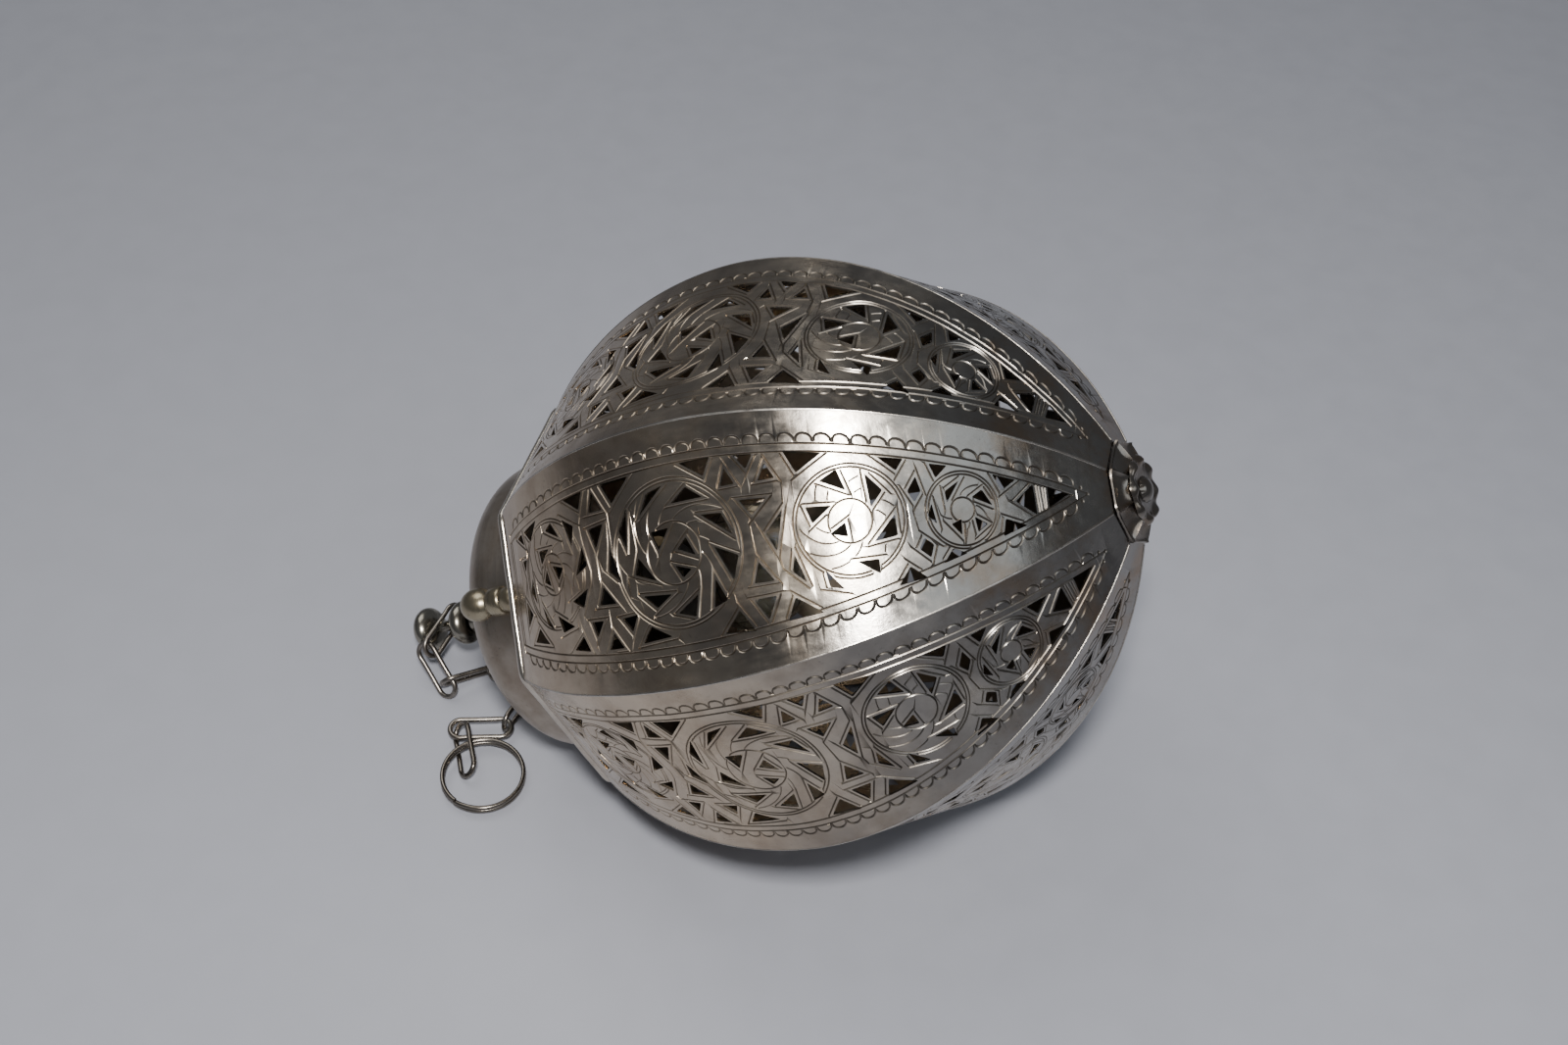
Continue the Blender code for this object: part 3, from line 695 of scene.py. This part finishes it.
def swirl_lines(taken):
    """Curved scribed arms that turn from each rosette's rim in to its middle."""
    lines = []
    cloud = np.concatenate([sampled(line) for line in taken])
    for centre, radii in ROSETTES:
        outer = radii[0] - 0.7
        arms = 12 if outer > 12 else 9
        for arm in range(arms):
            start = 2 * math.pi * arm / arms
            run = []
            for step in range(SWIRL_STEPS + 1):
                share = step / SWIRL_STEPS
                radius = outer + (radii[-1] + 0.6 - outer) * share
                angle = start + SWIRL_TWIST * share
                spot = np.array(centre) + radius * np.array([math.cos(angle), math.sin(angle)])
                clear = np.linalg.norm(cloud - spot, axis=1).min() > 0.7
                if step < SWIRL_STEPS and clear and open_metal(spot, 0.55)[0]:
                    run.append(spot)
                    continue
                if len(run) > 1 and np.linalg.norm(run[-1] - run[0]) > SWIRL_SHORTEST:
                    line = np.array(run)
                    lines.append(line)
                    cloud = np.concatenate([cloud, sampled(line)])
                run = []
    return lines


def border_lines():
    """A double line inside each seam, closing in a point near the tip, and scallops outside it."""
    lines = []
    middle = len(RUN) // 2
    for inset in (BORDER_OUTER, BORDER_INNER):
        stop = float(np.interp(-inset, -HALF[middle:], RUN[middle:]))
        runs = np.append(np.arange(BORDER_START, stop, 2.0), stop)
        for side in (-1, 1):
            lines.append(np.stack([runs, side * np.maximum(half_at(runs) - inset, 0)], 1))
    for run, reach in CROSS_LINES:
        edge = float(half_at(run)) - BORDER_INNER - reach
        if edge > 0.8:
            lines.append(np.array([(run, -edge), (run, edge)]))
    scallops = []
    start = SCALLOP_START
    while start < SCALLOP_END:
        for side in (-1, 1):
            points = []
            for step in range(9):
                angle = math.pi * step / 8
                run = start + SCALLOP_PITCH / 2
                run -= math.cos(angle) * (SCALLOP_PITCH / 2 - SCALLOP_GAP)
                lift = SCALLOP_HEIGHT * math.sin(angle) ** 0.8
                edge = float(half_at(run)) - BORDER_OUTER + SCALLOP_INSET + lift
                points.append((run, side * edge))
            scallops.append(np.array(points))
        start += SCALLOP_PITCH
    return lines, scallops


def pattern():
    """Every groove as (centre line, half width, depth)."""
    border, scallops = border_lines()
    grooves = [(line, GROOVE_HALF, GROOVE_DEPTH) for line in border]
    grooves += [(line, SCALLOP_HALF, SCALLOP_DEPTH) for line in scallops]
    circles = rosette_lines()
    grooves += [(line, GROOVE_HALF, GROOVE_DEPTH) for line in circles]
    straps = strap_lines(circles)
    grooves += [(line, GROOVE_HALF, GROOVE_DEPTH) for line in straps]
    swirls = swirl_lines(circles + straps)
    grooves += [(line, SWIRL_HALF, SWIRL_DEPTH) for line in swirls]
    return grooves


def offset_line(line, distance):
    """A polyline moved sideways."""
    run = np.gradient(line, axis=0)
    run /= np.maximum(np.linalg.norm(run, axis=1), 1e-9)[:, None]
    return line + np.stack([-run[:, 1], run[:, 0]], 1) * distance


def gore_data():
    """One pierced and chased gore, outside and inside, as a closed sheet."""
    points, edges = [], []

    def chain(line, closed=False):
        base = len(points)
        points.extend((float(x), float(y)) for x, y in line)
        for k in range(len(line) - 1):
            edges.append((base + k, base + k + 1))
        if closed:
            edges.append((base + len(line) - 1, base))

    rows = np.append(np.arange(0, LENGTH, ROW_STEP), LENGTH)
    left = [(run, -float(half_at(run))) for run in rows]
    right = [(run, float(half_at(run))) for run in rows]
    outline = left + right[::-1]
    chain(outline, True)
    for run in rows[1:-1]:
        edge = float(half_at(run))
        chain([(run, -edge), (run, edge)])
    holes = [cut_corner(grow_hole(hole)) for hole in HOLES]
    for hole in holes:
        chain(hole, True)
    grooves = pattern()
    for line, half, _ in grooves:
        for distance in (-half, 0.0, half):
            chain(offset_line(line, distance) if distance else line)
    for centre in PUNCHES:
        for radius in (PUNCH_FLAT, PUNCH_RADIUS):
            chain([(centre[0] + radius * math.cos(k * math.pi / 4),
                    centre[1] + radius * math.sin(k * math.pi / 4)) for k in range(8)], True)
    found = delaunay_2d_cdt([Vector(p) for p in points], edges, [], 0, 1e-4)
    flat = np.array([tuple(v) for v in found[0]])
    faces = np.array([f for f in found[2] if len(f) == 3])
    middles = flat[faces].mean(1)
    keep = np.abs(middles[:, 1]) < half_at(middles[:, 0]) + 0.02
    keep &= (middles[:, 0] > 0) & (middles[:, 0] < LENGTH)
    for hole in holes:
        keep &= ~inside(middles, hole)
    faces = faces[keep]
    used = np.unique(faces)
    index = -np.ones(len(flat), int)
    index[used] = np.arange(len(used))
    flat, faces = flat[used], index[faces]
    first = flat[faces[:, 0]]
    area = np.cross(flat[faces[:, 1]] - first, flat[faces[:, 2]] - first)
    faces[area > 0] = faces[area > 0][:, ::-1]
    lift = np.zeros(len(flat))
    for line, half, depth in grooves:
        low, high = line.min(0) - half, line.max(0) + half
        near = np.where(((flat > low - 0.01) & (flat < high + 0.01)).all(1))[0]
        if not len(near):
            continue
        gap = segment_distance(flat[near], line[:-1], line[1:]).min(1)
        lift[near] = np.minimum(lift[near], -depth * np.clip(1 - gap / half, 0, 1))
    for centre in PUNCHES:
        gap = np.linalg.norm(flat - centre, axis=1)
        sunk = np.clip((PUNCH_RADIUS - gap) / (PUNCH_RADIUS - PUNCH_FLAT), 0, 1)
        lift = np.minimum(lift, -PUNCH_DEPTH * sunk)
    # The sheet is hand beaten, so its flats waver a little.
    waver = 0.10 * np.sin(flat[:, 0] * 0.21 + 0.9) * np.sin(flat[:, 1] * 0.17 + 0.4)
    waver += 0.05 * np.sin(flat[:, 0] * 0.53) * np.cos(flat[:, 1] * 0.41)
    fade = np.clip((half_at(flat[:, 0]) - np.abs(flat[:, 1])) / 8, 0, 1)
    fade *= np.clip(flat[:, 0] / 10, 0, 1) * np.clip((LENGTH - flat[:, 0]) / 10, 0, 1)
    waver = (waver - 0.15) * fade
    outer = on_sheet(flat[:, 0], flat[:, 1], lift + waver) * MM
    inner = on_sheet(flat[:, 0], flat[:, 1] * INNER_WIDTH, waver - GORE_THICKNESS) * MM
    count = len(flat)
    rim = {}
    for a, b, c in faces:
        for edge in ((a, b), (b, c), (c, a)):
            rim[edge] = True
    walls = [(b, a, a + count, b + count) for a, b in rim if (b, a) not in rim]
    shell = [tuple(f) for f in faces] + [tuple(f[::-1] + count) for f in faces] + walls
    depth = np.clip(-lift / GROOVE_DEPTH, 0, 1)
    # The inner side carries painted shade through the same attribute as the groove depth.
    groove_depth_and_inner_shade = np.concatenate([depth, np.full(count, INNER_PAINTED_SHADE)])
    both = np.concatenate([outer, inner])
    return finished("gore", both, shell, GORE_SHARP, {"groove_depth_and_inner_shade": groove_depth_and_inner_shade})


gore = gore_data()
for facet in range(FACETS):
    turn = Matrix.Rotation(2 * math.pi * facet / FACETS, 4, "Z")
    add(f"pierced_gore_{facet}", gore.copy(), LOOKS["gore"], "body",
        LANTERN @ turn, (f"gore_{facet}",))


# ---------------------------------------------------------------- neck, cap and finial

LIP_APOTHEM, LIP_HEIGHT, LIP_WIRE = 65.5, 0.9, 1.42
LIP_CORNER = 0.035
LIP_WAVER = 0.06


def around(facet, radius, height=0.0):
    """A point round the axis; facet 0 faces +X, and halves are the ridges between them."""
    return on_circle(radius, 2 * math.pi * facet / FACETS, height)


def lip_data():
    """Rolled lip: a wire bent round the octagon with soft corners."""
    corner = LIP_APOTHEM / APOTHEM
    path = []
    for k in range(FACETS):
        spot = around(k + 0.5, corner, LIP_HEIGHT)
        before, after = around(k - 0.5, corner, LIP_HEIGHT), around(k + 1.5, corner, LIP_HEIGHT)
        near, far = spot.lerp(before, LIP_CORNER), spot.lerp(after, LIP_CORNER)
        for share in np.linspace(1 - LIP_CORNER, 0.05, 16)[1:]:
            waver = LIP_WAVER * MM * math.sin(share * 19 + k * 2.1)
            path.append(spot.lerp(before, float(share)) + Vector((0, 0, waver)))
        path += [near, spot.lerp((near + far) / 2, 0.5), far]
    return tube("rolled_lip", path, LIP_WIRE * MM, up=(0, 0, 1))


add("rolled_lip", lip_data(), LOOKS["lip"], "body", LANTERN, ("neck_lip",))

# Profiles of (radius, height above the neck's rim), all turned about an axis.
DRUM_TOP, DRUM_CROWN, DRUM_FLAT, DRUM_SHOULDER = 36.0, 2.4, 41.5, 12.0
DRUM_SHEET = 1.0
DRUM_HOLE = 5.2
DRUM_WALL = DRUM_FLAT + DRUM_SHOULDER
drum_outer = [(r, DRUM_TOP + DRUM_CROWN * (1 - (r / DRUM_FLAT) ** 2))
              for r in (DRUM_HOLE, 14, 22, 30, 36, DRUM_FLAT)]
drum_outer += arc(DRUM_FLAT, DRUM_TOP - DRUM_SHOULDER, DRUM_SHOULDER, DRUM_SHOULDER, 0, 90, 19)[1:]
drum_outer += [(DRUM_WALL, 10.0), (DRUM_WALL, 2.2), (53.9, 1.4), (53.9, 0.5)]
drum_bend = DRUM_SHOULDER - DRUM_SHEET
drum_inner = [(52.6, 0.5), (DRUM_WALL - DRUM_SHEET, 10.0),
              (DRUM_WALL - DRUM_SHEET, DRUM_TOP - DRUM_SHOULDER)]
drum_inner += arc(DRUM_FLAT, DRUM_TOP - DRUM_SHOULDER, drum_bend, drum_bend, 90, 0, 10)[1:]
drum_inner += [(22, 36.6), (DRUM_HOLE, 37.3)]
add("spun_drum", lathe("spun_drum", drum_outer + drum_inner, 160, True), LOOKS["nickel"], "lid",
    LANTERN, ("lid_drum",))

SEAM_WIRE, SEAM_INSET = 0.42, 0.33


def seam_data():
    """A bead of solder along the ridge between two gores."""
    rows = np.linspace(1.5, LENGTH - 1.0, 90)
    radius = half_at(rows) / math.sin(HALF_FACET) - SEAM_INSET
    depth = np.interp(rows, RUN, DEPTH)
    path = [Vector((r, 0.02 * math.sin(d * 1.3), -d)) * MM for r, d in zip(radius, depth)]
    return tube("seam", path, SEAM_WIRE * MM, 8, closed=False, up=(0, 1, 0))


seam = seam_data()
for facet in range(FACETS):
    turn = Matrix.Rotation(2 * math.pi * (facet + 0.5) / FACETS, 4, "Z")
    add(f"solder_seam_{facet}", seam.copy(), LOOKS["seam"], "body",
        LANTERN @ turn)

KNOB_FACET, KNOB_RADIUS = -1, 60.5
KNOB_SPOT = LANTERN @ Matrix.Translation(around(KNOB_FACET, KNOB_RADIUS))
knob = arc(0, 20.0, 5.8, 6.6, 0, 142, 22)
knob += [(3.5, 14.3), (3.7, 13.9), (4.6, 13.5), (4.9, 12.9), (4.9, 9.0), (4.6, 8.4),
         (4.2, 8.1), (4.2, 7.0), (4.5, 6.4), (4.5, 4.0), (4.2, 3.4), (3.0, 3.0),
         (3.0, 2.7), (1.5, 2.6), (1.5, -1.6), (0, -2.2)]
add("turned_knob", lathe("turned_knob", knob, 72), LOOKS["brass"], "knob",
    KNOB_SPOT, ("thumb_knob",))

foot = [(0.0, 73.2), (4.6, 73.2), (4.5, 66.0), (4.7, 62.6), (5.6, 60.4), (6.9, 58.0),
        (7.5, 55.6), (7.5, 53.4), (8.0, 51.6), (8.7, 50.2), (8.9, 48.8), (10.0, 46.6),
        (11.9, 43.9), (13.1, 42.4), (13.4, 41.2), (13.3, 39.6), (12.9, 38.8), (5.4, 38.8),
        (5.4, 54.6), (0.0, 54.6)]
add("finial_stem", lathe("finial_stem", foot, 96), LOOKS["dark"], "lid", LANTERN,
    ("finial_foot",))
spool = arc(0, 96.6, 8.5, 4.7, 0, 165, 22) + arc(0, 78.5, 8.5, 4.7, 15, 147, 20) + [(0, 74.6)]
add("finial_beads", lathe("finial_beads", spool, 96), LOOKS["dark"], "lid", LANTERN,
    ("finial_spool",))


# ---------------------------------------------------------------- tip

PETAL_EDGE, PETAL_TOP, PETAL_HOLE = 17.2, 10.3, 3.0
PETAL_DEPTH, PETAL_RISE, PETAL_DISH, PETAL_RIB, PETAL_ROLL = 193.0, 3.6, 1.0, 0.45, 0.55
PETAL_SLOPE = (0.46, 0, -0.89)
CROWN_DEPTH, CROWN_RADIUS, CROWN_SCALLOP = 196.9, 11.2, 1.0
BEAD_CIRCLE, BEAD_WIDTH = 9.2, 1.4
DOME_RADIUS, DOME_HEIGHT = 4.0, 2.6


def tip_cap_data():
    """Eight dished petals between raised ribs, with a rolled outer edge."""
    across, along = 14, 18
    vertices, rings = [], []

    def flat_ring(radius, depth):
        ring = []
        for index in range(FACETS * across):
            facet, step = divmod(index, across)
            side = (step / across * 2 - 1) * math.tan(HALF_FACET)
            turn = Matrix.Rotation(2 * math.pi * facet / FACETS, 3, "Z")
            ring.append(len(vertices))
            corner = Vector((radius * APOTHEM, radius * APOTHEM * side, -depth))
            vertices.append(turn @ (corner * MM))
        return ring

    for row in range(along + 1):
        share = row / along
        corner = PETAL_EDGE + (PETAL_TOP - PETAL_EDGE) * share
        depth = PETAL_DEPTH + PETAL_RISE * share ** 0.8
        roll = PETAL_ROLL * math.exp(-((share - 0.06) / 0.05) ** 2)
        ring = []
        for facet in range(FACETS):
            for step in range(across):
                part = step / across * 2 - 1
                side = part * math.tan(HALF_FACET)
                rib = math.exp(-((1 - abs(part)) / 0.10) ** 2)
                arch = math.sin(math.pi * min(share * 1.05, 1)) ** 0.7
                dish = -PETAL_DISH * arch * (1 - part**4)
                out = corner * APOTHEM
                lift = (dish + PETAL_RIB * rib + roll) * MM
                turn = Matrix.Rotation(2 * math.pi * facet / FACETS, 3, "Z")
                spot = Vector((out, out * side, -depth)) * MM + Vector(PETAL_SLOPE) * lift
                ring.append(len(vertices))
                vertices.append(turn @ spot)
        rings.append(ring)
    underside = flat_ring(PETAL_EDGE - 0.6, PETAL_DEPTH + 0.02)
    hole_low = flat_ring(PETAL_HOLE, PETAL_DEPTH + 0.02)
    hole_top = flat_ring(PETAL_HOLE, PETAL_DEPTH + PETAL_RISE)
    loops = rings + [hole_top, hole_low, underside]
    faces = []
    for first, second in zip(loops, loops[1:] + loops[:1]):
        for k in range(len(first)):
            after = (k + 1) % len(first)
            faces.append((first[k], first[after], second[after], second[k]))
    return finished("tip_petals", vertices, faces, 35.0)


def tip_crown_data():
    """Eight beads round a low boss."""
    rings, vertices = [], []
    segments = 128
    for row in range(27):
        share = row / 26
        ring = []
        for step in range(segments):
            angle = 2 * math.pi * step / segments
            lobe = 0.5 + 0.5 * math.cos(FACETS * angle)
            radius = (CROWN_RADIUS - CROWN_SCALLOP * (1 - lobe)) * (1 - share) + 0.02
            bead = math.exp(-(((radius - BEAD_CIRCLE) / BEAD_WIDTH) ** 2)) * (0.2 + 1.2 * lobe)
            dome = DOME_HEIGHT * math.sqrt(max(1 - (radius / DOME_RADIUS) ** 2, 0))
            edge = 0.9 * min(1.0, share / 0.06) ** 0.5
            ring.append(len(vertices))
            vertices.append(on_circle(radius, angle, -CROWN_DEPTH - edge - max(bead, dome)))
        rings.append(ring)
    faces = []
    for first, second in zip(rings, rings[1:]):
        for k in range(segments):
            after = (k + 1) % segments
            faces.append((first[k], first[after], second[after], second[k]))
    faces.append(tuple(rings[-1]))
    faces.append(tuple(reversed(rings[0])))
    return finished("tip_crown", vertices, faces, 50.0)


add("tip_petals", tip_cap_data(), LOOKS["tip"], "body", LANTERN, ("tip_cap",))
add("tip_crown", tip_crown_data(), LOOKS["tip"], "body", LANTERN, ("tip_boss",))


# ---------------------------------------------------------------- chain and ring

def own_axes(node):
    """Centre and axes (long, wide, thin) of a CAD node's own mesh."""
    data = bpy.data.objects[node].data
    spots = np.zeros(len(data.vertices) * 3, np.float32)
    data.vertices.foreach_get("co", spots)
    spots = spots.reshape(-1, 3).astype(float)
    middle = spots.mean(0)
    _, axes = np.linalg.eigh(np.cov((spots - middle).T))
    long, wide = Vector(axes[:, 2]), Vector(axes[:, 1])
    made = Matrix((long, wide, long.cross(wide))).transposed().to_4x4()
    made.translation = Vector(middle)
    return made


LINK_COUNT = 7
# Half the straight length, radius of the bends, radius of the wire and how far the sides bow in.
LINK_HALF, LINK_BEND, LINK_WIRE, LINK_BOW = 7.5, 4.0, 0.99, 0.12


def link_path():
    """Centre line of one link about its middle: two bends and two sides that bow in slightly."""
    points = []
    for end in (1, -1):
        for step in range(15):
            angle = math.pi * step / 14 - math.pi / 2
            along = LINK_HALF + LINK_BEND * math.cos(angle)
            points.append(Vector((end * along, end * LINK_BEND * math.sin(angle), 0)) * MM)
        for step in range(1, 6):
            share = step / 6
            across = LINK_BEND - LINK_BOW * math.sin(math.pi * share)
            points.append(Vector((end * LINK_HALF * (1 - 2 * share), end * across, 0)) * MM)
    return points


for number in range(1, LINK_COUNT + 1):
    node = f"chain_link_{number}"
    data = tube(f"wire_link_{number}", link_path(), LINK_WIRE * MM)
    add(f"wire_link_{number}", data, LOOKS["steel"], f"link_{number}",
        own_axes(node), (node,))

RING_RADIUS, RING_WIRE, RING_OPENING = 14.9, 0.86, 250.0
RING_LOW, RING_CLIMB = -0.65, 1.84
CROSS_START, CROSS_LENGTH = 0.93, 0.14
RING_TURN = (0.035, 0.070, -0.038)


def ring_path():
    """Two flat turns side by side, crossing over near the ends of the wire."""
    points = []
    for step in range(241):
        turns = step / 120
        cross = min(max((turns - CROSS_START) / CROSS_LENGTH, 0), 1)
        rise = RING_LOW + RING_CLIMB * (cross * cross * (3 - 2 * cross))
        angle = 2 * math.pi * turns + math.radians(RING_OPENING)
        points.append(on_circle(RING_RADIUS, angle, rise))
    return points


ring_frame = Euler(RING_TURN, "XYZ").to_matrix().to_4x4()
ring_frame.translation = Vector(mounts["hanging_ring"]["pos_m"])
ring_wire = tube("wire_split_ring", ring_path(), RING_WIRE * MM, closed=False)
add("wire_split_ring", ring_wire, LOOKS["steel"], "ring", ring_frame,
    ("split_ring",))


# ---------------------------------------------------------------- looks for the CAD nodes that stay

KEPT = {
    "nickel": ("neck_plate", "lid_flange", "tip_washer", "tip_nut"),
    "brass": ("hinge_leaf_body", "hinge_leaf_lid", "hinge_pin", "threaded_pipe", "pipe_washer",
              "pipe_nut", "holder_cap", "holder_ring", "bulb_cap"),
    "black": ("holder_body",),
    "glass": ("bulb_glass",),
}
for look, nodes in KEPT.items():
    for node in nodes:
        item = bpy.data.objects[node]
        item.data.materials.clear()
        item.data.materials.append(LOOKS[look])


# ---------------------------------------------------------------- floor, light and camera

FLOOR_REACH = 2.5
FLOOR_COLOUR = (0.40, 0.41, 0.455)
SKY_COLOUR, SKY_STRENGTH = (0.70, 0.73, 0.80), 0.19
LIGHT_TARGET = (0.0, 0.0, 0.08)
CAMERA_PLACE = (0.11592, -0.40291, 0.53974)
CAMERA_TURN = (44.106, -0.368, 14.572)
CAMERA_LENS = 40.5


def stage():
    """A plain pale floor and an even grey sky."""
    floor_mesh = bpy.data.meshes.new("floor")
    square = ((-1, -1), (1, -1), (1, 1), (-1, 1))
    corners = [(x * FLOOR_REACH, y * FLOOR_REACH, 0) for x, y in square]
    floor_mesh.from_pydata(corners, [], [(0, 1, 2, 3)])
    floor = bpy.data.objects.new("floor", floor_mesh)
    bpy.context.scene.collection.objects.link(floor)
    floor_mesh.materials.append(plain("floor_paper", FLOOR_COLOUR, 0.7, 0.03))
    world = bpy.data.worlds.new("studio")
    bpy.context.scene.world = world
    world.use_nodes = True
    background = world.node_tree.nodes["Background"]
    background.inputs["Color"].default_value = (*SKY_COLOUR, 1.0)
    background.inputs["Strength"].default_value = SKY_STRENGTH


def light(name, direction, distance, size, power, colour):
    """A rectangular lamp, placed by its direction and distance from the lantern."""
    lamp = bpy.data.lights.new(name, "AREA")
    lamp.shape = "RECTANGLE"
    lamp.size, lamp.size_y = size
    lamp.energy = power
    lamp.color = colour
    item = bpy.data.objects.new(name, lamp)
    bpy.context.scene.collection.objects.link(item)
    way = Vector(direction).normalized()
    item.location = Vector(LIGHT_TARGET) + way * distance
    item.rotation_euler = way.to_track_quat("Z", "Y").to_euler()


stage()
light("overhead", (-0.36, 0.30, 0.9), 1.6, (1.0, 1.0), 7.0, (1.0, 0.99, 0.97))
light("front", (0.150, -0.520, 0.841), 0.85, (0.10, 0.10), 8.0, (1.0, 0.98, 0.96))
light("window", (0.62, -0.27, 0.74), 1.4, (0.8, 0.55), 1.8, (0.84, 0.92, 1.0))

camera_data = bpy.data.cameras.new("camera")
camera_data.sensor_width = 36.0
camera_data.lens = CAMERA_LENS
camera_data.clip_start = 0.01
camera = bpy.data.objects.new("camera", camera_data)
bpy.context.scene.collection.objects.link(camera)
camera.location = CAMERA_PLACE
camera.rotation_euler = [math.radians(angle) for angle in CAMERA_TURN]
bpy.context.scene.camera = camera

bpy.context.view_layer.update()
